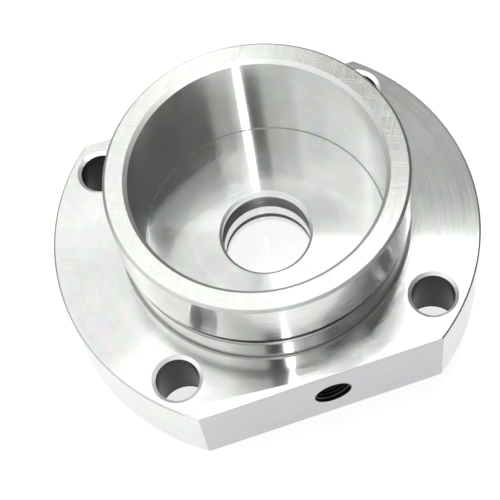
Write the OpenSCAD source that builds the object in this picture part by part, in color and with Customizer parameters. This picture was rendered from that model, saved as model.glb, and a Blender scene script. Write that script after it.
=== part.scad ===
// Mounting flange with a cup collar, a sealed centre bore and a side air port.
//
// It is one turned and milled piece. The round flange has two flats and four
// bolt holes, and carries an open collar with a groove low on its outside.
// The centre bore leaves the floor of the collar, passes a seal groove and a
// ring groove, and widens to a shallow recess in the underside.
//
// Millimetres. The bore runs along Z, the origin is where its axis meets the
// underside, and the air port faces -Y.

/* [Flange] */
// Diameter of the round flange
flange_d = 110; // [104:0.5:130]
// Thickness of the flange
flange_t = 23; // [20:0.5:27]
// Distance from the bore axis to the front flat, where the port is
front_flat = 45; // [43:0.5:50]
// Distance from the bore axis to the back flat
back_flat = 39.5; // [38:0.5:50]
// Edge break on the round rim, top and bottom
rim_break = 0.4; // [0.2:0.1:1]

/* [Collar] */
// Height from the underside to the top of the collar
total_h = 51; // [42:0.5:80]
// Outside diameter of the collar
collar_d = 75; // [74.5:0.5:78]
// Diameter of the land between the flange and the outside groove
land_d = 73.6; // [73:0.1:75]
// Diameter at the bottom of the outside groove
groove_d = 72.8; // [69:0.1:73.4]
// Height of the land above the flange
land_h = 7.4; // [3:0.2:12]
// Width of the outside groove
groove_w = 4.6; // [2:0.2:10]
// Chamfer on the outer edge of the collar's rim
rim_outer_chamfer = 0.7; // [0.2:0.1:1.5]
// Chamfer on the inner edge of the collar's rim
rim_inner_chamfer = 1.0; // [0.2:0.1:2]

/* [Cup] */
// Diameter of the cup inside the collar
cup_d = 63; // [40:0.5:67]
// Height of the cup's floor above the underside
floor_z = 19.5; // [19:0.5:26]

/* [Centre bore] */
// Diameter of the centre bore
bore_d = 23; // [18:0.5:25]
// Chamfer where the bore meets the cup's floor
bore_chamfer = 0.7; // [0.2:0.1:1.5]
// Diameter at the bottom of the seal groove
seal_groove_d = 26.4; // [24:0.2:32]
// Width of the seal groove
seal_groove_w = 5.3; // [2:0.1:6]
// Height of the lower side of the seal groove
seal_groove_z = 12.2; // [10:0.1:12.8]
// Diameter at the bottom of the ring groove
ring_groove_d = 25; // [23.6:0.2:29]
// Width of the ring groove
ring_groove_w = 1.8; // [1:0.1:4]
// Height of the lower side of the ring groove
ring_groove_z = 6.5; // [5.5:0.1:9]
// Diameter of the recess in the underside
recess_d = 30; // [26:0.5:60]
// Depth of the recess in the underside
recess_depth = 4.5; // [1:0.5:5.5]

/* [Bolt holes] */
// Distance from the flange's rim in to the circle of the bolt holes
bolt_inset = 8; // [7.6:0.1:10]
// Distance from the front flat to the centres of the two front bolt holes
front_bolt_edge = 12; // [9:0.5:20]
// Distance from the back flat to the centres of the two back bolt holes
back_bolt_edge = 9; // [8.5:0.5:20]
// Diameter of the bolt holes
bolt_d = 11; // [5:0.5:12]
// Chamfer at the top of each bolt hole
bolt_chamfer = 0.9; // [0.2:0.1:1.5]
// Diameter of the relief under each bolt hole
relief_d = 14.4; // [12:0.2:15]
// Depth of the relief under each bolt hole
relief_depth = 6.5; // [1:0.5:12]

/* [Air port] */
// Sideways position of the port on the front flat
port_x = 2.5; // [-8:0.5:8]
// Height of the port above the underside
port_z = 11.5; // [10:0.5:14]
// Thread diameter of the port
port_d = 9.73; // [6:0.01:13.2]
// Depth of the port's thread
port_depth = 12; // [6:0.5:20]
// Diameter of the drilling from the port to the centre bore
feed_d = 4; // [2:0.5:5]

/* [Edge bevel] */
// Width of the bevel on the flange's top face, at its wide left end
bevel_w = 3.6; // [1:0.2:5]
// Depth of the bevel on the front flat, at its wide left end
bevel_depth = 0.6; // [0.2:0.1:2]
// Length of the bevel from the flat's left corner to where it runs out
bevel_len = 37; // [10:1:60]

/* [Hidden] */
$fn = 180;

// How far a cutter reaches past the face that it opens
over = 1;
// Included angle of the drill that made the port and its feed
drill_angle = 118;

flange_r = flange_d / 2;
collar_r = collar_d / 2;
land_r = land_d / 2;
groove_r = groove_d / 2;
cup_r = cup_d / 2;
bore_r = bore_d / 2;
seal_groove_r = seal_groove_d / 2;
ring_groove_r = ring_groove_d / 2;
recess_r = recess_d / 2;
bolt_r = bolt_d / 2;
bolt_circle_r = flange_r - bolt_inset;
port_r = port_d / 2;
feed_r = feed_d / 2;

groove_z = flange_t + land_h;
seal_groove_top = seal_groove_z + seal_groove_w;
ring_groove_top = ring_groove_z + ring_groove_w;
front_bolt_y = front_bolt_edge - front_flat;
back_bolt_y = back_flat - back_bolt_edge;
// Half the length of the front flat
flat_half = sqrt(flange_r * flange_r - front_flat * front_flat);
port_cone_h = (port_r - feed_r) / tan(drill_angle / 2);
// Turn and tilt of the bevel's plane
bevel_turn = atan(bevel_w / bevel_len);
bevel_tilt = atan(bevel_depth / (bevel_w * cos(bevel_turn)));

// Outside of the turned piece, from the underside up
function outside_points() = [
    [flange_r - rim_break, 0],
    [flange_r, rim_break],
    [flange_r, flange_t - rim_break],
    [flange_r - rim_break, flange_t],
    [land_r, flange_t],
    [land_r, groove_z],
    [groove_r, groove_z],
    [groove_r, groove_z + groove_w],
    [collar_r, groove_z + groove_w],
    [collar_r, total_h - rim_outer_chamfer],
    [collar_r - rim_outer_chamfer, total_h]
];

// Inside of the turned piece, from the rim of the cup down
function inside_points() = [
    [cup_r + rim_inner_chamfer, total_h],
    [cup_r, total_h - rim_inner_chamfer],
    [cup_r, floor_z],
    [bore_r + bore_chamfer, floor_z],
    [bore_r, floor_z - bore_chamfer],
    [bore_r, seal_groove_top],
    [seal_groove_r, seal_groove_top],
    [seal_groove_r, seal_groove_z],
    [bore_r, seal_groove_z],
    [bore_r, ring_groove_top],
    [ring_groove_r, ring_groove_top],
    [ring_groove_r, ring_groove_z],
    [bore_r, ring_groove_z],
    [bore_r, recess_depth],
    [recess_r, recess_depth],
    [recess_r, 0]
];

// The piece as it leaves the lathe
module turned_body() {
    rotate_extrude()
        polygon(concat(outside_points(), inside_points()));
}

// What the mill takes off the flange to leave a flat at y = distance
module flat_cutter(distance) {
    translate([-flange_r - over, distance, -over])
        cube([2 * (flange_r + over), flange_r, flange_t + 2 * over]);
}

// One bolt hole on the Z axis, chamfered at the top and relieved below
module bolt_cutter() {
    translate([0, 0, -over])
        cylinder(h = flange_t + 2 * over, r = bolt_r);
    translate([0, 0, flange_t - bolt_chamfer])
        cylinder(h = bolt_chamfer + over, r1 = bolt_r, r2 = bolt_r + bolt_chamfer + over);
    translate([0, 0, -over])
        cylinder(h = relief_depth + over, d = relief_d);
}

// All four bolt holes, on one circle and level in pairs with the flats
module bolt_cutters() {
    for (y = [front_bolt_y, back_bolt_y], side = [-1, 1])
        translate([side * sqrt(bolt_circle_r * bolt_circle_r - y * y), y, 0])
            bolt_cutter();
}

// Threaded port, drill point and feed, from the front flat to the centre bore
module port_cutter() {
    translate([port_x, -front_flat, port_z])
        rotate([-90, 0, 0]) {
            translate([0, 0, -over])
                cylinder(h = port_depth + over, r = port_r);
            translate([0, 0, port_depth])
                cylinder(h = port_cone_h, r1 = port_r, r2 = feed_r);
            cylinder(h = front_flat, r = feed_r);
        }
}

// Tapered bevel on the left part of the front flat's top edge
module bevel_cutter() {
    translate([bevel_len - flat_half, -front_flat, flange_t])
        rotate([0, 0, -bevel_turn])
            rotate([bevel_tilt, 0, 0])
                translate([-2 * bevel_len, -2 * bevel_len, 0])
                    cube([2 * bevel_len, 2 * bevel_len, total_h]);
}

module flange() {
    color([0.80, 0.81, 0.82])
        difference() {
            turned_body();
            flat_cutter(back_flat);
            rotate([0, 0, 180])
                flat_cutter(front_flat);
            bolt_cutters();
            port_cutter();
            bevel_cutter();
        }
}

flange();
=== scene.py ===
"""Dresses the mounting flange: finishes, port thread, studio and camera.

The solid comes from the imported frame. This script gives each machined zone of
it a finish, cuts the thread ridges of the air port, and sets up the light, the
floor and the camera of the photograph.
"""

import logging
import math
from dataclasses import dataclass
from enum import Enum
from typing import ClassVar

import bpy
from mathutils import Matrix, Vector


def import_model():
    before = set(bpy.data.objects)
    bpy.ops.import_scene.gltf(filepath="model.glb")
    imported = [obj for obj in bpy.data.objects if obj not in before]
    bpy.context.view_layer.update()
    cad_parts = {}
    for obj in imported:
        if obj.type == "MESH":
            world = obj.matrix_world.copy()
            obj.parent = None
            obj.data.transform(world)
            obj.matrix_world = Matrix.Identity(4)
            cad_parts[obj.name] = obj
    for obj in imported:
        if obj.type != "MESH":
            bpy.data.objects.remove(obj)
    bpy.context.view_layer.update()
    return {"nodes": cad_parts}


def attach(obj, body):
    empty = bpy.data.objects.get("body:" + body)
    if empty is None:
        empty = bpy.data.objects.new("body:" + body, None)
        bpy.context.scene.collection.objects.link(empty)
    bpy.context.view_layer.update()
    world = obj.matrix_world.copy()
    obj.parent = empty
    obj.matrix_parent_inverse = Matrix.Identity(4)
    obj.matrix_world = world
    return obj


log = logging.getLogger("mounting_flange")

MM = 0.001
BODY = "root"
QUARTER_TURN = 0.25
DEGREES = 180.0 / math.pi
HALF_TURN = 180.0
WHITE = (1.0, 1.0, 1.0, 1.0)

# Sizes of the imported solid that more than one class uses, in millimetres.
FLANGE_T = 23.0
FRONT_FLAT = 45.0
LAND_R = 36.8
UNDERCUT_R = 36.4
COLLAR_Z = 35.0
CUP_R = 31.5
CUP_FLOOR_Z = 19.5
PORT_X = 2.5
PORT_Z = 11.5

Rgb = tuple[float, float, float]


class Zone(Enum):
    """A kind of machined surface on the flange, in the order of its slots."""

    TURNED = 0
    GROUND = 1
    MILLED = 2
    DRILLED = 3
    COUNTERSUNK = 4
    BEVELLED = 5
    TAPPED = 6
    GROOVED = 7
    UNDERCUT = 8
    COLLAR = 9
    DEBURRED = 10


@dataclass
class Tree:
    """A small writer of shader or geometry nodes.

    Args:
        nodes: The node tree that is written to.
    """

    nodes: bpy.types.NodeTree

    def add(self, kind: str, **values: object) -> bpy.types.Node:
        """Adds a node and sets its properties.

        Args:
            kind: The node's Blender type name.
            values: Property names and what they are set to.

        Returns:
            The new node.
        """
        node = self.nodes.nodes.new(kind)
        for name, value in values.items():
            setattr(node, name, value)
        return node

    def join(self, source: bpy.types.NodeSocket, target: bpy.types.NodeSocket) -> None:
        """Links an output to an input.

        Args:
            source: The output.
            target: The input.
        """
        self.nodes.links.new(source, target)

    def math(self, operation: str, *terms: object, clamp: bool = False) -> bpy.types.NodeSocket:
        """Adds a Math node.

        Args:
            operation: The operation's name.
            terms: Sockets or numbers, in order.
            clamp: Whether the result stays within 0 and 1.

        Returns:
            The node's output.
        """
        node = self.add("ShaderNodeMath", operation=operation, use_clamp=clamp)
        for socket, term in zip(node.inputs, terms):
            self.put(term, socket)
        return node.outputs[0]

    def vector(self, operation: str, *terms: object) -> bpy.types.NodeSocket:
        """Adds a Vector Math node.

        Args:
            operation: The operation's name.
            terms: Sockets or vectors, in order.

        Returns:
            The node's vector output.
        """
        node = self.add("ShaderNodeVectorMath", operation=operation)
        for socket, term in zip(node.inputs, terms):
            self.put(term, socket)
        return node.outputs["Vector"]

    def scale(self, vector: bpy.types.NodeSocket, factor: object) -> bpy.types.NodeSocket:
        """Adds a node that scales a vector.

        Args:
            vector: The vector or colour.
            factor: What it is multiplied by.

        Returns:
            The scaled vector.
        """
        node = self.add("ShaderNodeVectorMath", operation="SCALE")
        self.join(vector, node.inputs[0])
        self.put(factor, node.inputs["Scale"])
        return node.outputs["Vector"]

    def split(self, vector: bpy.types.NodeSocket) -> bpy.types.bpy_prop_collection:
        """Adds a node that splits a vector.

        Args:
            vector: The vector.

        Returns:
            The outputs X, Y and Z.
        """
        node = self.add("ShaderNodeSeparateXYZ")
        self.join(vector, node.inputs[0])
        return node.outputs

    def radius(self, place: bpy.types.bpy_prop_collection) -> bpy.types.NodeSocket:
        """Adds the distance from the Z axis.

        Args:
            place: The outputs X, Y and Z of a place.

        Returns:
            The distance.
        """
        squares = [self.math("POWER", place[axis], 2.0) for axis in ("X", "Y")]
        return self.math("SQRT", self.math("ADD", *squares))

    def add_shaders(self, first: bpy.types.NodeSocket, second: bpy.types.NodeSocket) -> bpy.types.NodeSocket:
        """Adds two shaders' light together.

        Args:
            first: One shader.
            second: The other.

        Returns:
            Their sum.
        """
        node = self.add("ShaderNodeAddShader")
        self.join(first, node.inputs[0])
        self.join(second, node.inputs[1])
        return node.outputs[0]

    def put(self, term: object, socket: bpy.types.NodeSocket) -> None:
        """Links a socket, or sets a plain value, on an input.

        Args:
            term: The socket or value.
            socket: The input.
        """
        if isinstance(term, bpy.types.NodeSocket):
            self.join(term, socket)
        else:
            socket.default_value = term

    def ramp(self, value: object, low: object, high: object, to_low: float = 0.0,
             to_high: float = 1.0) -> bpy.types.NodeSocket:
        """Adds a smooth step between two values.

        Args:
            value: What is mapped.
            low: The value at which the step starts.
            high: The value at which it ends.
            to_low: The result at low.
            to_high: The result at high.

        Returns:
            The step's output.
        """
        node = self.add("ShaderNodeMapRange", interpolation_type="SMOOTHSTEP")
        for name, term in (("Value", value), ("From Min", low), ("From Max", high),
                           ("To Min", to_low), ("To Max", to_high)):
            self.put(term, node.inputs[name])
        return node.outputs["Result"]


def new_group(name: str, inputs: dict[str, float], outputs: dict[str, str],
              vectors: tuple[str, ...] = ()) -> tuple[Tree, dict, dict]:
    """Makes an empty shader group with named sockets.

    Args:
        name: The group's name.
        inputs: Number inputs and their defaults.
        outputs: Outputs and their socket types.
        vectors: Names of vector inputs.

    Returns:
        The tree writer, the group's inputs by name and its outputs by name.
    """
    group = bpy.data.node_groups.new(name, "ShaderNodeTree")
    for label, value in inputs.items():
        socket = group.interface.new_socket(label, in_out="INPUT", socket_type="NodeSocketFloat")
        socket.default_value = value
    for label in vectors:
        group.interface.new_socket(label, in_out="INPUT", socket_type="NodeSocketVector")
    for label, kind in outputs.items():
        group.interface.new_socket(label, in_out="OUTPUT", socket_type=kind)
    tree = Tree(group)
    start = tree.add("NodeGroupInput")
    end = tree.add("NodeGroupOutput")
    return tree, {s.name: s for s in start.outputs if s.name}, {s.name: s for s in end.inputs if s.name}


class SharedGroup:
    """A shader node group that is built once and placed wherever it is needed.

    Attributes:
        group_name: The group's name.
    """

    group_name: ClassVar[str]

    def build(self) -> bpy.types.NodeTree:
        """Gives the group, and draws it the first time.

        Returns:
            The group.
        """
        if self.group_name in bpy.data.node_groups:
            return bpy.data.node_groups[self.group_name]
        return self.draw()

    def draw(self) -> bpy.types.NodeTree:
        """Draws the group; each kind of group says how."""
        raise NotImplementedError


@dataclass(frozen=True)
class TurningMarks(SharedGroup):
    """Concentric tool marks, as a group that every finish places.

    Each turn of the tool leaves a shallow groove. The group tilts the normal across the grooves,
    so that a highlight spreads across the marks and stays narrow along them.

    Args:
        marks_per_mm: Uneven fine marks in a millimetre.
        marks_detail: How many finer layers the fine marks have.
        waves_per_mm: Broad waves in a millimetre.
        waves_detail: How many finer layers the waves have.
        swing: How far the marks and waves are stretched from the noise's middle.
        crest: Power that keeps each groove flat in its middle and steep at its sides.
    """

    group_name: ClassVar[str] = "turning_marks"
    marks_per_mm: float = 2.4
    marks_detail: float = 3.0
    waves_per_mm: float = 0.45
    waves_detail: float = 2.0
    swing: float = 2.0
    crest: float = 4.0

    def draw(self) -> bpy.types.NodeTree:
        """Draws the group.

        Returns:
            The group, with the output Normal.
        """
        tree, start, end = new_group(
            self.group_name, {"Feed": 0.12, "Groove": 0.15, "Chatter": 0.04, "Waviness": 0.02},
            {"Normal": "NodeSocketVector"}, vectors=("Normal",))
        place = tree.split(tree.add("ShaderNodeTexCoord").outputs["Object"])
        along = tree.math("DIVIDE", tree.math("SUBTRACT", tree.radius(place), place["Z"]), MM)
        cusp = tree.math("MULTIPLY_ADD", tree.math("FRACT", tree.math("DIVIDE", along, start["Feed"])),
                         2.0, -1.0)
        slope = tree.math("MULTIPLY", tree.math("POWER", tree.math("ABSOLUTE", cusp), self.crest),
                          tree.math("SIGN", cusp))
        chatter = self.wave(tree, along, self.marks_per_mm, self.marks_detail)
        waves = self.wave(tree, along, self.waves_per_mm, self.waves_detail)
        tilt = tree.math("MULTIPLY_ADD", slope, start["Groove"],
                         tree.math("MULTIPLY_ADD", chatter, start["Chatter"],
                                   tree.math("MULTIPLY", waves, start["Waviness"])))
        round_way = tree.add("ShaderNodeCombineXYZ")
        tree.join(tree.math("MULTIPLY", place["Y"], -1.0), round_way.inputs["X"])
        tree.join(place["X"], round_way.inputs["Y"])
        tangent = tree.vector("NORMALIZE", round_way.outputs[0])
        sideways = tree.vector("CROSS_PRODUCT", start["Normal"], tangent)
        leaning = tree.vector("ADD", start["Normal"], tree.scale(sideways, tilt))
        tree.join(tree.vector("NORMALIZE", leaning), end["Normal"])
        return tree.nodes

    def wave(self, tree: Tree, along: bpy.types.NodeSocket, scale: float,
             detail: float) -> bpy.types.NodeSocket:
        """Adds an uneven wave along one direction, about -1 to 1.

        Args:
            tree: The group's tree.
            along: The place along the direction.
            scale: Waves for each unit.
            detail: How many finer layers are added.

        Returns:
            The wave's height.
        """
        noise = tree.add("ShaderNodeTexNoise", noise_dimensions="1D")
        tree.join(along, noise.inputs["W"])
        noise.inputs["Scale"].default_value = scale
        noise.inputs["Detail"].default_value = detail
        return tree.math("MULTIPLY_ADD", noise.outputs[0], 2.0 * self.swing, -self.swing)


@dataclass(frozen=True)
class Handling(SharedGroup):
    """Faint cloudiness and colour that handling and oil leave on bare metal.

    Args:
        colour_stretch: How much finer the colours are than the cloudiness.
        cloud_detail: How many finer layers the cloudiness has.
        colour_detail: How many finer layers the colours have.
        cloud_range: Noise values between which the cloudiness rises.
        middle: The colour noise's middle, which leaves the metal untinted.
    """

    group_name: ClassVar[str] = "handling_film"
    colour_stretch: float = 5.0
    cloud_detail: float = 4.0
    colour_detail: float = 1.5
    cloud_range: tuple[float, float] = (0.3, 0.7)
    middle: Rgb = (0.5, 0.5, 0.5)

    def draw(self) -> bpy.types.NodeTree:
        """Draws the group.

        Returns:
            The group, with the outputs Cloud and Tint.
        """
        tree, start, end = new_group(self.group_name, {"Scale": 45.0, "Colour": 0.05},
                                     {"Cloud": "NodeSocketFloat", "Tint": "NodeSocketColor"})
        place = tree.add("ShaderNodeTexCoord").outputs["Object"]
        cloud = tree.add("ShaderNodeTexNoise")
        tree.join(place, cloud.inputs["Vector"])
        tree.join(start["Scale"], cloud.inputs["Scale"])
        cloud.inputs["Detail"].default_value = self.cloud_detail
        tree.join(tree.ramp(cloud.outputs[0], *self.cloud_range), end["Cloud"])
        hue = tree.add("ShaderNodeTexNoise")
        tree.join(place, hue.inputs["Vector"])
        tree.join(tree.math("MULTIPLY", start["Scale"], self.colour_stretch), hue.inputs["Scale"])
        hue.inputs["Detail"].default_value = self.colour_detail
        offset = tree.vector("SUBTRACT", hue.outputs["Color"], self.middle)
        strong = tree.scale(offset, tree.math("MULTIPLY", start["Colour"], 2.0))
        tree.join(tree.vector("ADD", strong, WHITE[:3]), end["Tint"])
        return tree.nodes


@dataclass(frozen=True)
class Scratches(SharedGroup):
    """Fine straight scratches that cross each other.

    Args:
        headings: Directions of the two families of scratches, in radians.
        stretch: Width of a scratch against its length.
        upright: The same for its reach in height.
        line_range: Noise values between which a scratch fades in.
    """

    group_name: ClassVar[str] = "fine_scratches"
    headings: tuple[float, float] = (0.55, 2.0)
    stretch: float = 0.008
    upright: float = 0.3
    line_range: tuple[float, float] = (0.57, 0.80)

    def draw(self) -> bpy.types.NodeTree:
        """Draws the group.

        Returns:
            The group, with the output Mask.
        """
        tree, start, end = new_group(self.group_name, {"Density": 9000.0}, {"Mask": "NodeSocketFloat"})
        place = tree.add("ShaderNodeTexCoord").outputs["Object"]
        lines = []
        for heading in self.headings:
            turned = tree.add("ShaderNodeMapping")
            turned.inputs["Rotation"].default_value = (0.0, 0.0, heading)
            tree.join(place, turned.inputs["Vector"])
            drawn = tree.vector("MULTIPLY", turned.outputs[0], (1.0, self.stretch, self.upright))
            noise = tree.add("ShaderNodeTexNoise")
            tree.join(drawn, noise.inputs["Vector"])
            tree.join(start["Density"], noise.inputs["Scale"])
            noise.inputs["Detail"].default_value = 0.0
            lines.append(tree.ramp(noise.outputs[0], *self.line_range))
        tree.join(tree.math("MAXIMUM", *lines), end["Mask"])
        return tree.nodes


@dataclass(frozen=True)
class BrokenEdge(SharedGroup):
    """The thin broken edge that deburring leaves, as a rounded normal and a mask along which the finish
    paints shade.

    Args:
        samples: Rays that look for the edge.
        agreement: How far the rounded and the true normal agree where the mask starts and is full.
    """

    group_name: ClassVar[str] = "broken_edge"
    samples: int = 6
    agreement: tuple[float, float] = (0.995, 0.90)

    def draw(self) -> bpy.types.NodeTree:
        """Draws the group.

        Returns:
            The group, with the outputs Normal and Mask.
        """
        tree, start, end = new_group(self.group_name, {"Radius": 0.15},
                                     {"Normal": "NodeSocketVector", "Mask": "NodeSocketFloat"})
        rounded = tree.add("ShaderNodeBevel", samples=self.samples)
        tree.join(tree.math("MULTIPLY", start["Radius"], MM), rounded.inputs["Radius"])
        tree.join(rounded.outputs[0], end["Normal"])
        facing = tree.add("ShaderNodeVectorMath", operation="DOT_PRODUCT")
        tree.join(tree.add("ShaderNodeNewGeometry").outputs["Normal"], facing.inputs[0])
        tree.join(rounded.outputs[0], facing.inputs[1])
        tree.join(tree.ramp(facing.outputs["Value"], *self.agreement), end["Mask"])
        return tree.nodes


class RolledEdge(SharedGroup):
    """A filed edge that rolls over: its normal leans towards the level face above it."""

    group_name: ClassVar[str] = "rolled_edge"

    def draw(self) -> bpy.types.NodeTree:
        """Draws the group.

        Returns:
            The group, with the output Normal.
        """
        tree, start, end = new_group(self.group_name, {"Roll": 0.0}, {"Normal": "NodeSocketVector"},
                                     vectors=("Normal",))
        upward = tree.add("ShaderNodeCombineXYZ")
        tree.join(start["Roll"], upward.inputs["Z"])
        tree.join(tree.vector("NORMALIZE", tree.vector("ADD", start["Normal"], upward.outputs[0])),
                  end["Normal"])
        return tree.nodes


@dataclass(frozen=True)
class CornerLine(SharedGroup):
    """The line where a turned wall meets a level face: painted shade on the wall, more roughness and a
    painted highlight on the face.

    Args:
        radius: The wall's radius, in millimetres.
        height: The face's height, in millimetres.
        width: Width of the line, in millimetres.
        core: Share of the width that keeps its full strength.
        slack: How near a point must be to count as lying on the wall or the face, in millimetres.
    """

    radius: float
    height: float
    width: float = 0.3
    core: float = 0.6
    slack: float = 0.02
    group_name: ClassVar[str] = "corner_shade_and_highlight"

    def draw(self) -> bpy.types.NodeTree:
        """Draws the group.

        Returns:
            The group, with two outputs: painted shade on the wall, and a mask on the face for more roughness
                and a painted highlight.
        """
        tree, start, end = new_group(
            self.group_name, {"Radius": 10.0, "Height": 10.0, "Width": 0.3, "Core": 0.6},
            {"Dark": "NodeSocketFloat", "DullAndHighlight": "NodeSocketFloat"})
        place = tree.split(tree.add("ShaderNodeTexCoord").outputs["Object"])
        aside = tree.math("ABSOLUTE", tree.math(
            "SUBTRACT", tree.math("DIVIDE", tree.radius(place), MM), start["Radius"]))
        above = tree.math("ABSOLUTE", tree.math(
            "SUBTRACT", tree.math("DIVIDE", place["Z"], MM), start["Height"]))
        # One output is painted shade on the wall; the other is more roughness and a painted highlight on the
        # face.
        for label, near, far in (("Dark", aside, above), ("DullAndHighlight", above, aside)):
            on_it = tree.math("LESS_THAN", near, self.slack)
            fade = tree.ramp(far, tree.math("MULTIPLY", start["Width"], start["Core"]), start["Width"],
                             1.0, 0.0)
            tree.join(tree.math("MULTIPLY", on_it, fade), end[label])
        return tree.nodes


@dataclass(frozen=True)
class MetalFinish:
    """One finish of the bare aluminium.

    Args:
        name: The material's name.
        colour: The metal's colour.
        roughness: Mean roughness.
        rough_spread: How far cloudiness changes the roughness.
        lay: How far the finish is brushed along its tool marks, 0 to 1.
        feed: Distance between tool marks, in millimetres.
        groove: Slope of each tool mark's sides.
        chatter: Slope of the uneven fine marks.
        waviness: Slope of the broad waves.
        edge: Radius over which edges catch the light, in millimetres.
        edge_shade: How dark the painted shade along the thin broken edges is, 0 to 1.
        tint: Strength of the faint colours.
        mottle: How far cloudiness changes the brightness.
        scratch: How far scratches change the brightness.
        roll: How far the normal leans upward, for filed edges; 0 leaves it alone.
        corners: Lines of painted shade and painted highlight where walls meet level faces.
        corner_shade: How dark the painted shade of the corner lines is, 0 to 1.
        corner_rough: Roughness that their dull side adds.
        corner_glow: How much paler the painted highlight on their dull side is.
    """

    name: str
    colour: Rgb = (0.815, 0.827, 0.807)
    roughness: float = 0.14
    rough_spread: float = 0.015
    lay: float = 0.65
    feed: float = 0.12
    groove: float = 0.25
    chatter: float = 0.012
    waviness: float = 0.008
    edge: float = 0.12
    edge_shade: float = 0.1
    tint: float = 0.05
    mottle: float = 0.03
    scratch: float = 0.04
    roll: float = 0.0
    corners: tuple[CornerLine, ...] = ()
    corner_shade: float = 0.75
    corner_rough: float = 0.45
    corner_glow: float = 0.18

    def build(self) -> bpy.types.Material:
        """Builds the material.

        Returns:
            The material.
        """
        material = bpy.data.materials.new(self.name)
        material.use_nodes = True
        tree = Tree(material.node_tree)
        shader = tree.nodes.nodes["Principled BSDF"]
        shader.inputs["Metallic"].default_value = 1.0
        shader.inputs["Anisotropic"].default_value = self.lay
        shader.inputs["Anisotropic Rotation"].default_value = QUARTER_TURN
        if self.lay > 0.0:
            tangent = tree.add("ShaderNodeTangent", direction_type="RADIAL", axis="Z")
            tree.join(tangent.outputs[0], shader.inputs["Tangent"])
        edge = self.place(tree, BrokenEdge().build(), {"Radius": self.edge})
        marks = self.place(tree, TurningMarks().build(), {
            "Feed": self.feed, "Groove": self.groove, "Chatter": self.chatter, "Waviness": self.waviness})
        rolled = self.place(tree, RolledEdge().build(), {"Roll": self.roll})
        tree.join(edge.outputs["Normal"], rolled.inputs["Normal"])
        tree.join(rolled.outputs["Normal"], marks.inputs["Normal"])
        tree.join(marks.outputs["Normal"], shader.inputs["Normal"])
        film = self.place(tree, Handling().build(), {"Colour": self.tint})
        lines = self.place(tree, Scratches().build(), {})
        # The corner lines: painted shade on the wall, and more roughness with a painted highlight on the
        # face.
        dark: object = 0.0
        dull: object = 0.0
        for corner in self.corners:
            line = self.place(tree, corner.build(), {"Radius": corner.radius, "Height": corner.height,
                                                     "Width": corner.width, "Core": corner.core})
            dark = tree.math("MAXIMUM", dark, line.outputs["Dark"])
            dull = tree.math("MAXIMUM", dull, line.outputs["DullAndHighlight"])
        tree.join(self.shade(tree, film, lines, edge, dark, dull), shader.inputs["Base Color"])
        cloudy = tree.math("MULTIPLY_ADD", film.outputs["Cloud"], 2.0 * self.rough_spread,
                           self.roughness - self.rough_spread)
        scored = tree.math("MULTIPLY_ADD", lines.outputs["Mask"], self.scratch, cloudy)
        roughness = tree.math("MULTIPLY_ADD", dull, self.corner_rough, scored, clamp=True)
        tree.join(roughness, shader.inputs["Roughness"])
        return material

    def shade(self, tree: Tree, film: bpy.types.Node, lines: bpy.types.Node, edge: bpy.types.Node,
              dark: object, dull: object) -> bpy.types.NodeSocket:
        """Colours the metal with its faint tints and scratches, and paints shade along broken edges and in
        corners, and a highlight beside the corners.

        Args:
            tree: The material's tree.
            film: The handling film.
            lines: The scratches.
            edge: The broken edge, whose mask paints shade.
            dark: The painted shade of the corner lines, on the wall.
            dull: Their dull side, which gets a painted highlight.

        Returns:
            The base colour.
        """
        tinted = tree.vector("MULTIPLY", film.outputs["Tint"], self.colour)
        level = tree.math("MULTIPLY_ADD", film.outputs["Cloud"], self.mottle, 1.0 - self.mottle)
        # Scratches darken the metal; the broken edges and the corners' wall side get painted shade, and the
        # corners' face side gets a painted highlight.
        for mask, change in ((lines.outputs["Mask"], -self.scratch), (edge.outputs["Mask"], -self.edge_shade),
                             (dark, -self.corner_shade), (dull, self.corner_glow)):
            level = tree.math("MULTIPLY", level, tree.math("MULTIPLY_ADD", mask, change, 1.0))
        return tree.scale(tinted, level)

    @staticmethod
    def place(tree: Tree, group: bpy.types.NodeTree, values: dict[str, float]) -> bpy.types.Node:
        """Places a shared group with this finish's own values.

        Args:
            tree: The material's tree.
            group: The shared group.
            values: The values of its inputs.

        Returns:
            The group node.
        """
        node = tree.add("ShaderNodeGroup", node_tree=group)
        for label, value in values.items():
            node.inputs[label].default_value = value
        return node


# Painted shade and painted highlight where the cup wall meets its floor and where the spigot meets the
# flange.
CORNERS = (CornerLine(CUP_R, CUP_FLOOR_Z, 0.3), CornerLine(LAND_R, FLANGE_T, 0.85))
# Painted shadow of the collar on the undercut wall, dark from the collar's underside most of the way down.
UNDERCUT_SHADOW = (CornerLine(UNDERCUT_R, COLLAR_Z, 4.3, core=0.85),)

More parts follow.
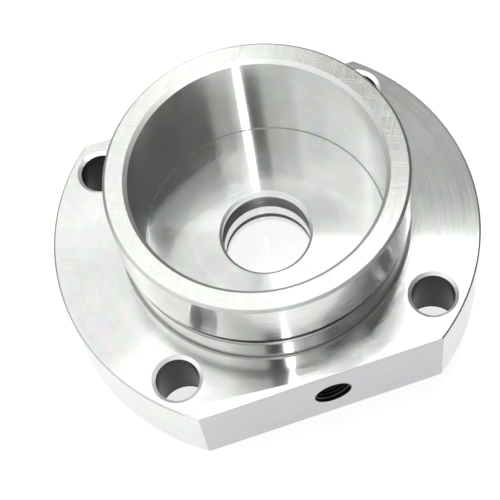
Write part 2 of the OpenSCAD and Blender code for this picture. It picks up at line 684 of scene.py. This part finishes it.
FINISHES = {
    Zone.TURNED: MetalFinish("turned_aluminium", roughness=0.10, lay=1.0, groove=0.18, corners=CORNERS,
                             corner_shade=0.2, corner_glow=0.3, tint=0.09, mottle=0.06),
    Zone.GROUND: MetalFinish("ground_aluminium", colour=(0.85, 0.87, 0.835), roughness=0.2, lay=0.0,
                             groove=0.1, scratch=0.13, tint=0.05),
    Zone.MILLED: MetalFinish("milled_aluminium", colour=(0.62, 0.62, 0.635), roughness=0.36, lay=0.0,
                             groove=0.0, mottle=0.06),
    # The drilled holes' near-black colour is painted shade, far darker than bare aluminium.
    Zone.DRILLED: MetalFinish("drilled_aluminium_painted_shade", colour=(0.015, 0.015, 0.018), roughness=0.34, lay=0.0,
                              groove=0.1, mottle=0.3),
    # Its edge_shade paints a stronger line of shade round the countersink.
    Zone.COUNTERSUNK: MetalFinish("countersunk_aluminium", colour=(0.97, 0.98, 0.97), roughness=0.32,
                                  lay=0.0, groove=0.05, edge_shade=0.5, roll=1.6),
    Zone.BEVELLED: MetalFinish("bevelled_aluminium", colour=(0.70, 0.70, 0.71), roughness=0.34, lay=0.0,
                               groove=0.0),
    # The port's dark colour is painted shade, far darker than bare aluminium.
    Zone.TAPPED: MetalFinish("tapped_aluminium_painted_shade", colour=(0.07, 0.07, 0.075), roughness=0.35, lay=0.0,
                             groove=0.0),
    # Its corner line paints the collar's shadow on the undercut wall.
    Zone.UNDERCUT: MetalFinish("undercut_aluminium_painted_shadow", roughness=0.35, lay=0.0, groove=0.1,
                               corners=UNDERCUT_SHADOW, corner_shade=0.97),
    Zone.COLLAR: MetalFinish("collar_aluminium", roughness=0.09, lay=1.0, groove=0.15, corners=CORNERS,
                             tint=0.06, mottle=0.05),
    Zone.DEBURRED: MetalFinish("deburred_aluminium", colour=(0.60, 0.61, 0.59), roughness=0.3, lay=0.0,
                               groove=0.0, mottle=0.1, roll=2.0),
    # The seal groove's darker colour is painted shade.
    Zone.GROOVED: MetalFinish("grooved_aluminium_painted_shade", colour=(0.55, 0.55, 0.56), roughness=0.3),
}


@dataclass
class FlangeBody:
    """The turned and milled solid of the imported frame, and its zones.

    Args:
        node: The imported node's name.
        flange_t: Thickness of the flange.
        flange_r: Radius of the flange.
        front_flat: Distance from the axis to the front flat.
        back_flat: Distance from the axis to the back flat.
        bolt_circle_r: Radius of the circle of the bolt holes.
        bolt_rows: Y of each pair of bolt holes.
        bolt_reach: Radius within which a face belongs to a bolt hole.
        port_x: Sideways place of the air port.
        port_z: Height of the air port.
        port_reach: Radius within which a face belongs to the port.
        bore_r: Radius of the centre bore.
        seal_r: Radius of the seal groove inside the centre bore.
        undercut_r: Radius of the undercut below the collar.
        cup_floor_z: Height of the cup's floor.
        rim_z: Height of the rim.
        near: How near a face must be to a plane or a radius to lie on it.
        margin: How far from a step of the profile a zone begins or ends.
        groove_margin: The same below the cup's floor, for the seal groove.
        level_slack: How far the share of Z in a level face's normal may be from 1.
        hair: The least difference that counts, in a height or in a share of Z.
        chamfer_slope: Lowest and highest share of Z in a chamfer's normal.
    """

    node: str = "flange"
    flange_t: float = FLANGE_T
    flange_r: float = 55.0
    front_flat: float = FRONT_FLAT
    back_flat: float = 39.5
    bolt_circle_r: float = 47.0
    bolt_rows: tuple[float, float] = (-33.0, 30.5)
    bolt_reach: float = 7.3
    port_x: float = PORT_X
    port_z: float = PORT_Z
    port_reach: float = 5.0
    bore_r: float = 11.5
    seal_r: float = 13.2
    undercut_r: float = UNDERCUT_R
    cup_floor_z: float = CUP_FLOOR_Z
    rim_z: float = 51.0
    near: float = 0.1
    margin: float = 1.0
    groove_margin: float = 1.5
    level_slack: float = 1e-4
    hair: float = 0.01
    chamfer_slope: tuple[float, float] = (0.5, 0.95)

    def bolt_centres(self) -> list[tuple[float, float]]:
        """Places the four bolt holes on their circle.

        Returns:
            Their centres, in millimetres.
        """
        return [(side * math.sqrt(self.bolt_circle_r ** 2 - y * y), y)
                for y in self.bolt_rows for side in (-1.0, 1.0)]

    def zone_of(self, centre: Vector, normal: Vector) -> Zone:
        """Says how a face was machined.

        Args:
            centre: The face's middle, in millimetres.
            normal: The face's outward normal.

        Returns:
            The face's zone.
        """
        level = abs(abs(normal.z) - 1.0) < self.level_slack
        shallow, steep = self.chamfer_slope
        on_flat = min(abs(centre.y + self.front_flat), abs(centre.y - self.back_flat)) < self.near
        if on_flat and abs(normal.z) < self.hair:
            return Zone.MILLED
        if level and centre.z > self.rim_z - self.near:
            return Zone.GROUND
        bevel = normal.z > steep and normal.y < 0.0 and centre.z > self.flange_t - self.margin
        if bevel and not level:
            return Zone.BEVELLED
        beside_port = math.hypot(centre.x - self.port_x, centre.z - self.port_z)
        if beside_port < self.port_reach and -self.front_flat < centre.y < -self.bore_r:
            return Zone.TAPPED
        for x, y in self.bolt_centres():
            in_hole = math.hypot(centre.x - x, centre.y - y) < self.bolt_reach
            if in_hole and 0.0 < centre.z < self.flange_t - self.hair:
                sinks = normal.z > shallow and not level
                return Zone.COUNTERSUNK if sinks else Zone.DRILLED
        return self.turned_zone(math.hypot(centre.x, centre.y), centre.z, abs(normal.z))

    def turned_zone(self, radius: float, height: float, rise: float) -> Zone:
        """Says how a turned face was finished.

        Args:
            radius: The face's distance from the axis, in millimetres.
            height: Its height, in millimetres.
            rise: The share of Z in its normal.

        Returns:
            The face's zone.
        """
        shallow, steep = self.chamfer_slope
        upright = rise < self.near
        if shallow < rise < steep and height > self.cup_floor_z - self.margin:
            return Zone.DEBURRED
        if upright and abs(radius - self.undercut_r) < self.near and height > self.flange_t:
            return Zone.UNDERCUT
        if upright and self.undercut_r + self.near < radius < self.flange_r - self.margin:
            return Zone.COLLAR
        in_groove = self.bore_r + self.near < radius < self.seal_r + self.near
        if in_groove and height < self.cup_floor_z - self.groove_margin:
            return Zone.GROOVED
        return Zone.TURNED

    def dress(self, nodes: dict[str, bpy.types.Object]) -> bpy.types.Object:
        """Gives each zone its finish.

        Args:
            nodes: The frame's nodes by name.

        Returns:
            The node's object.
        """
        solid = nodes[self.node]
        solid.data.materials.clear()
        for zone in Zone:
            solid.data.materials.append(FINISHES[zone].build())
        counts = dict.fromkeys(Zone, 0)
        for face in solid.data.polygons:
            zone = self.zone_of(face.center / MM, face.normal)
            face.material_index = zone.value
            counts[zone] += 1
        log.info("%s: %s", self.node, ", ".join(f"{z.name.lower()} {n}" for z, n in counts.items()))
        return solid


@dataclass
class PortThread:
    """The thread ridges inside the air port, made by Geometry Nodes.

    Args:
        name: The piece's name.
        mouth: The port's centre on the front flat, in millimetres.
        major_r: Radius at the bottom of the thread.
        minor_r: Radius at the crest of the thread.
        pitch: Distance between turns.
        depth: Length of the thread.
        setback: How far inside the flat the first turn starts.
        overlap: How far the ridge reaches past both radii.
        steps_per_turn: Points on each turn.
        ridge_sides: Sides of the ridge's cross-section.
    """

    name: str = "port_thread"
    mouth: tuple[float, float, float] = (PORT_X, -FRONT_FLAT, PORT_Z)
    major_r: float = 4.865
    minor_r: float = 4.28
    pitch: float = 0.907
    depth: float = 11.4
    setback: float = 0.5
    overlap: float = 0.12
    steps_per_turn: int = 72
    ridge_sides: int = 4

    def tree(self) -> bpy.types.NodeTree:
        """Builds the tree that sweeps a ridge along a helix.

        Returns:
            The geometry tree.
        """
        group = bpy.data.node_groups.new("thread_ridge", "GeometryNodeTree")
        group.interface.new_socket("Geometry", in_out="INPUT", socket_type="NodeSocketGeometry")
        sizes = {"Helix Radius": 1.0, "Turns": 1.0, "Height": 1.0, "Ridge": 1.0}
        for label, value in sizes.items():
            socket = group.interface.new_socket(label, in_out="INPUT", socket_type="NodeSocketFloat")
            socket.default_value = value
        steps = group.interface.new_socket("Steps", in_out="INPUT", socket_type="NodeSocketInt")
        steps.default_value = self.steps_per_turn
        finish = group.interface.new_socket("Finish", in_out="INPUT", socket_type="NodeSocketMaterial")
        group.interface.new_socket("Geometry", in_out="OUTPUT", socket_type="NodeSocketGeometry")
        tree = Tree(group)
        start = tree.add("NodeGroupInput")
        end = tree.add("NodeGroupOutput")
        helix = tree.add("GeometryNodeCurveSpiral")
        tree.join(start.outputs["Steps"], helix.inputs["Resolution"])
        tree.join(start.outputs["Turns"], helix.inputs["Rotations"])
        tree.join(start.outputs["Helix Radius"], helix.inputs["Start Radius"])
        tree.join(start.outputs["Helix Radius"], helix.inputs["End Radius"])
        tree.join(start.outputs["Height"], helix.inputs["Height"])
        upright = tree.add("GeometryNodeSetCurveNormal", mode="Z_UP")
        tree.join(helix.outputs[0], upright.inputs["Curve"])
        ridge = tree.add("GeometryNodeCurvePrimitiveCircle", mode="RADIUS")
        ridge.inputs["Resolution"].default_value = self.ridge_sides
        tree.join(start.outputs["Ridge"], ridge.inputs["Radius"])
        sweep = tree.add("GeometryNodeCurveToMesh")
        sweep.inputs["Fill Caps"].default_value = True
        tree.join(upright.outputs[0], sweep.inputs["Curve"])
        tree.join(ridge.outputs[0], sweep.inputs["Profile Curve"])
        real = tree.add("GeometryNodeRealizeInstances")
        tree.join(sweep.outputs[0], real.inputs[0])
        finish_node = tree.add("GeometryNodeSetMaterial")
        tree.join(real.outputs[0], finish_node.inputs["Geometry"])
        tree.join(start.outputs["Finish"], finish_node.inputs["Material"])
        tree.join(finish_node.outputs[0], end.inputs["Geometry"])
        return group

    def build(self, material: bpy.types.Material) -> bpy.types.Object:
        """Makes the thread's mesh in its place.

        Args:
            material: The finish of the tapped port, dark with painted shade.

        Returns:
            The thread's object.
        """
        half = (self.major_r - self.minor_r) / 2.0 + self.overlap
        travel = self.depth - self.setback
        made = grow(self.name, self.tree(), {
            "Helix Radius": (self.major_r + self.overlap - half) * MM,
            "Turns": travel / self.pitch,
            "Height": travel * MM,
            "Ridge": half * MM,
            "Finish": material,
        })
        x, y, z = self.mouth
        place = Matrix.Translation(Vector((x, y + self.setback, z)) * MM)
        made.data.transform(place @ Matrix.Rotation(-math.pi / 2.0, 4, "X"))
        finish_piece(made)
        log.info("%s: %.1f turns, %d faces", self.name, travel / self.pitch, len(made.data.polygons))
        return made


def grow(name: str, tree: bpy.types.NodeTree, values: dict[str, object]) -> bpy.types.Object:
    """Runs a geometry tree and keeps its result as a plain mesh.

    Args:
        name: The new object's name.
        tree: The geometry tree.
        values: The tree's inputs by name.

    Returns:
        An object at the origin with the tree's mesh.
    """
    seed = bpy.data.objects.new(name + "_seed", bpy.data.meshes.new(name + "_seed"))
    bpy.context.scene.collection.objects.link(seed)
    modifier = seed.modifiers.new("grow", "NODES")
    modifier.node_group = tree
    sockets = {i.name: i.identifier for i in tree.interface.items_tree
               if i.item_type == "SOCKET" and i.in_out == "INPUT"}
    for label, value in values.items():
        modifier[sockets[label]] = value
    view = bpy.context.evaluated_depsgraph_get()
    mesh = bpy.data.meshes.new_from_object(seed.evaluated_get(view), depsgraph=view)
    mesh.name = name
    seed.modifiers.remove(modifier)
    bpy.data.objects.remove(seed)
    made = bpy.data.objects.new(name, mesh)
    bpy.context.scene.collection.objects.link(made)
    return made


def finish_piece(piece: bpy.types.Object) -> None:
    """Hands a new piece to the frame: its body.

    Args:
        piece: The new piece.
    """
    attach(piece, BODY)


class Glow(Enum):
    """Levels of brightness that a panel of the studio can have; 1 is plain white."""

    DARK = 0.1
    DIM = 0.25
    SOFT = 0.6
    WHITE = 1.1
    BRIGHT = 2.0
    LAMP = 4.0
    FLASH = 8.0


@dataclass(frozen=True)
class Panel:
    """A soft panel of light on the studio's sky.

    Args:
        name: What the panel is.
        turn: Direction of its middle, counted from the camera's side, in degrees.
        elevation: Height of its middle above the floor, in degrees.
        half_width: Half its width in azimuth, in degrees.
        half_height: Half its height in elevation, in degrees.
        soft: Width of its soft border, in degrees.
        glow: Its level of brightness.
    """

    name: str
    turn: float
    elevation: float
    half_width: float
    half_height: float
    soft: float
    glow: Glow


class PanelShape(SharedGroup):
    """The light of one soft panel, worked out from the direction that is looked in."""

    group_name: ClassVar[str] = "soft_panel"

    def draw(self) -> bpy.types.NodeTree:
        """Draws the group.

        Returns:
            The group, with the output Light.
        """
        tree, start, end = new_group(
            self.group_name, {"Azimuth": 0.0, "Elevation": 45.0, "Half Width": 20.0, "Half Height": 20.0,
                              "Soft": 5.0, "Strength": 1.0}, {"Light": "NodeSocketFloat"})
        way = tree.split(tree.add("ShaderNodeTexCoord").outputs["Generated"])
        azimuth = tree.math("MULTIPLY", tree.math("ARCTAN2", way["Y"], way["X"]), DEGREES)
        elevation = tree.math("MULTIPLY", tree.math("ARCSINE", way["Z"]), DEGREES)
        turn = tree.math("WRAP", tree.math("SUBTRACT", azimuth, start["Azimuth"]), HALF_TURN, -HALF_TURN)
        climb = tree.math("SUBTRACT", elevation, start["Elevation"])
        border = tree.math("DIVIDE", start["Soft"], 2.0)
        inside = []
        for offset, half in ((turn, start["Half Width"]), (climb, start["Half Height"])):
            inner = tree.math("SUBTRACT", half, border)
            outer = tree.math("ADD", half, border)
            inside.append(tree.ramp(tree.math("ABSOLUTE", offset), inner, outer, 1.0, 0.0))
        shape = tree.math("MULTIPLY", *inside)
        tree.join(tree.math("MULTIPLY", shape, start["Strength"]), end["Light"])
        return tree.nodes


@dataclass
class Studio:
    """The sky, the floor and their light.

    Args:
        panels: The soft panels.
        facing: Azimuth of the camera's side, from +X towards +Y, in degrees.
        base: Brightness of the sky between the panels.
        floor_half: Half the floor's side, in metres.
        floor_colour: The floor's colour.
        floor_glow: White that the floor shows to camera and gloss beside its own light.
        floor_gloss: Share of light that the floor mirrors.
        floor_roughness: Roughness of that mirror.
        gap: How far the floor lies under the part, in metres.
    """

    panels: list[Panel]
    facing: float = -97.9
    base: float = 0.05
    floor_half: float = 3.0
    floor_colour: Rgb = (0.37, 0.37, 0.37)
    floor_glow: float = 0.8
    floor_gloss: float = 0.05
    floor_roughness: float = 0.15
    gap: float = 0.0001

    def build_sky(self) -> bpy.types.World:
        """Makes the world: white to the camera, panels to everything else.

        Returns:
            The world.
        """
        world = bpy.data.worlds.new("studio_sky")
        world.use_nodes = True
        tree = Tree(world.node_tree)
        tree.nodes.nodes.clear()
        total: object = self.base
        for panel in self.panels:
            node = tree.add("ShaderNodeGroup", node_tree=PanelShape().build(), label=panel.name)
            for label, value in (("Azimuth", self.facing + panel.turn), ("Elevation", panel.elevation),
                                 ("Half Width", panel.half_width), ("Half Height", panel.half_height),
                                 ("Soft", panel.soft), ("Strength", panel.glow.value)):
                node.inputs[label].default_value = value
            total = tree.math("ADD", total, node.outputs["Light"])
        seen = tree.add("ShaderNodeLightPath").outputs["Is Camera Ray"]
        light = tree.add("ShaderNodeBackground", label="light")
        tree.put(total, light.inputs["Strength"])
        white = tree.add("ShaderNodeBackground", label="white")
        for background in (light, white):
            background.inputs["Color"].default_value = WHITE
        mix = tree.add("ShaderNodeMixShader")
        tree.join(seen, mix.inputs["Fac"])
        tree.join(light.outputs[0], mix.inputs[1])
        tree.join(white.outputs[0], mix.inputs[2])
        tree.join(mix.outputs[0], tree.add("ShaderNodeOutputWorld").inputs["Surface"])
        bpy.context.scene.world = world
        return world

    def floor_material(self) -> bpy.types.Material:
        """Makes the floor's material: pale, slightly glossy, and partly plain white to the eye.

        Returns:
            The material.
        """
        material = bpy.data.materials.new("studio_floor")
        material.use_nodes = True
        tree = Tree(material.node_tree)
        tree.nodes.nodes.clear()
        path = tree.add("ShaderNodeLightPath")
        seen = tree.math("MAXIMUM", path.outputs["Is Camera Ray"], path.outputs["Is Glossy Ray"])
        dull = tree.add("ShaderNodeBsdfDiffuse")
        dull.inputs["Color"].default_value = (*self.floor_colour, 1.0)
        white = tree.add("ShaderNodeEmission")
        tree.join(tree.math("MULTIPLY", seen, self.floor_glow), white.inputs["Strength"])
        gloss = tree.add("ShaderNodeBsdfAnisotropic")
        gloss.inputs["Color"].default_value = (self.floor_gloss,) * 3 + (1.0,)
        gloss.inputs["Roughness"].default_value = self.floor_roughness
        every = tree.add_shaders(tree.add_shaders(dull.outputs[0], white.outputs[0]), gloss.outputs[0])
        tree.join(every, tree.add("ShaderNodeOutputMaterial").inputs["Surface"])
        return material

    def build_floor(self) -> bpy.types.Object:
        """Lays the floor.

        Returns:
            The floor's object.
        """
        half, level = self.floor_half, -self.gap
        mesh = bpy.data.meshes.new("studio_floor")
        mesh.from_pydata([(-half, -half, level), (half, -half, level), (half, half, level),
                          (-half, half, level)], [], [(0, 1, 2, 3)])
        mesh.materials.append(self.floor_material())
        floor = bpy.data.objects.new("studio_floor", mesh)
        bpy.context.scene.collection.objects.link(floor)
        return floor

    def build(self) -> None:
        """Builds the sky and the floor, and sets the plain view transform."""
        self.build_sky()
        self.build_floor()
        bpy.context.scene.view_settings.view_transform = "Standard"
        log.info("studio: %d panels", len(self.panels))


@dataclass(frozen=True)
class PhotoCamera:
    """The camera, at the photograph's place.

    Args:
        azimuth: Turn of the view around Z, in degrees.
        elevation: Height of the view, in degrees.
        roll: Turn about the view's axis, in degrees.
        distance: Distance to the target, in metres.
        lens: Focal length, in millimetres.
        target: The point looked at, in metres.
        sensor: Width of the sensor, in millimetres.
        clip_start: Nearest distance that is drawn, in metres.
    """

    azimuth: float = -7.878
    elevation: float = 62.504
    roll: float = -11.097
    distance: float = 0.39785
    lens: float = 109.68
    target: tuple[float, float, float] = (-0.005194, -0.001288, 0.015)
    sensor: float = 36.0
    clip_start: float = 0.01

    def build(self) -> bpy.types.Object:
        """Places the camera and makes it the scene's.

        Returns:
            The camera's object.
        """
        turn, rise, roll = (math.radians(v) for v in (self.azimuth, self.elevation, self.roll))
        back = Vector((math.sin(turn) * math.cos(rise), -math.cos(turn) * math.cos(rise), math.sin(rise)))
        level = Vector((math.cos(turn), math.sin(turn), 0.0))
        upright = back.cross(level)
        right = math.cos(roll) * level + math.sin(roll) * upright
        up = math.cos(roll) * upright - math.sin(roll) * level
        data = bpy.data.cameras.new("photo_camera")
        data.sensor_width = self.sensor
        data.lens = self.lens
        data.clip_start = self.clip_start
        camera = bpy.data.objects.new("photo_camera", data)
        bpy.context.scene.collection.objects.link(camera)
        frame_axes = Matrix((right, up, back)).transposed().to_4x4()
        camera.matrix_world = Matrix.Translation(Vector(self.target) + back * self.distance) @ frame_axes
        bpy.context.scene.camera = camera
        return camera


STUDIO = Studio(panels=[
    Panel("flash beside the camera", 0.5, 63, 2.5, 13, 3.5, Glow.FLASH),
    Panel("glow of the flash", 3, 63, 7, 13, 8, Glow.WHITE),
    Panel("left front fill", -26, 63, 8, 13, 5, Glow.SOFT),
    Panel("left window", -41, 63, 8, 13, 4, Glow.SOFT),
    Panel("left wall", -92, 63, 44, 13, 4, Glow.WHITE),
    Panel("right front fill", 20, 63, 10, 13, 8, Glow.SOFT),
    Panel("right wall", 90, 63, 60, 13, 6, Glow.DARK),
    Panel("rear left strip", -132, 63, 13, 13, 3, Glow.SOFT),
    Panel("rear right lamp", 150, 69, 5, 7, 1, Glow.FLASH),
    Panel("rear left lamp", -151, 72, 8, 5, 1, Glow.BRIGHT),
    Panel("rear right window", 166, 69, 13, 7.5, 1, Glow.WHITE),
    Panel("rear right wall", 162, 54, 17, 7.5, 1, Glow.DIM),
    Panel("rear gap", 181, 63, 3, 13, 1, Glow.SOFT),
    Panel("rear left wall", -160, 63, 17, 13, 1, Glow.WHITE),
    Panel("rear low lamp", 180, 48, 5, 4, 2, Glow.LAMP),
    Panel("left roof", -120, 82, 62, 6, 3, Glow.WHITE),
    Panel("right roof", 150, 82, 30, 6, 3, Glow.FLASH),
    Panel("rear floor light", -160, 12, 20, 15, 4, Glow.BRIGHT),
    Panel("left low window", -90, 38, 25, 12, 5, Glow.SOFT),
    Panel("front low left", -25, 34, 20, 14, 5, Glow.SOFT),
    Panel("right low", 30, 38, 25, 12, 5, Glow.DARK),
    Panel("left floor light", -68, 12, 24, 14, 6, Glow.DIM),
    Panel("horizon", 0, 19, 179, 20, 4, Glow.DIM),
])


def main() -> None:
    """Builds the whole scene in order."""
    logging.basicConfig(level=logging.INFO, format="%(name)s %(message)s")
    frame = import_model()
    PhotoCamera().build()
    STUDIO.build()
    solid = FlangeBody().dress(frame["nodes"])
    PortThread().build(solid.data.materials[Zone.TAPPED.value])


if __name__ == "__main__":
    main()
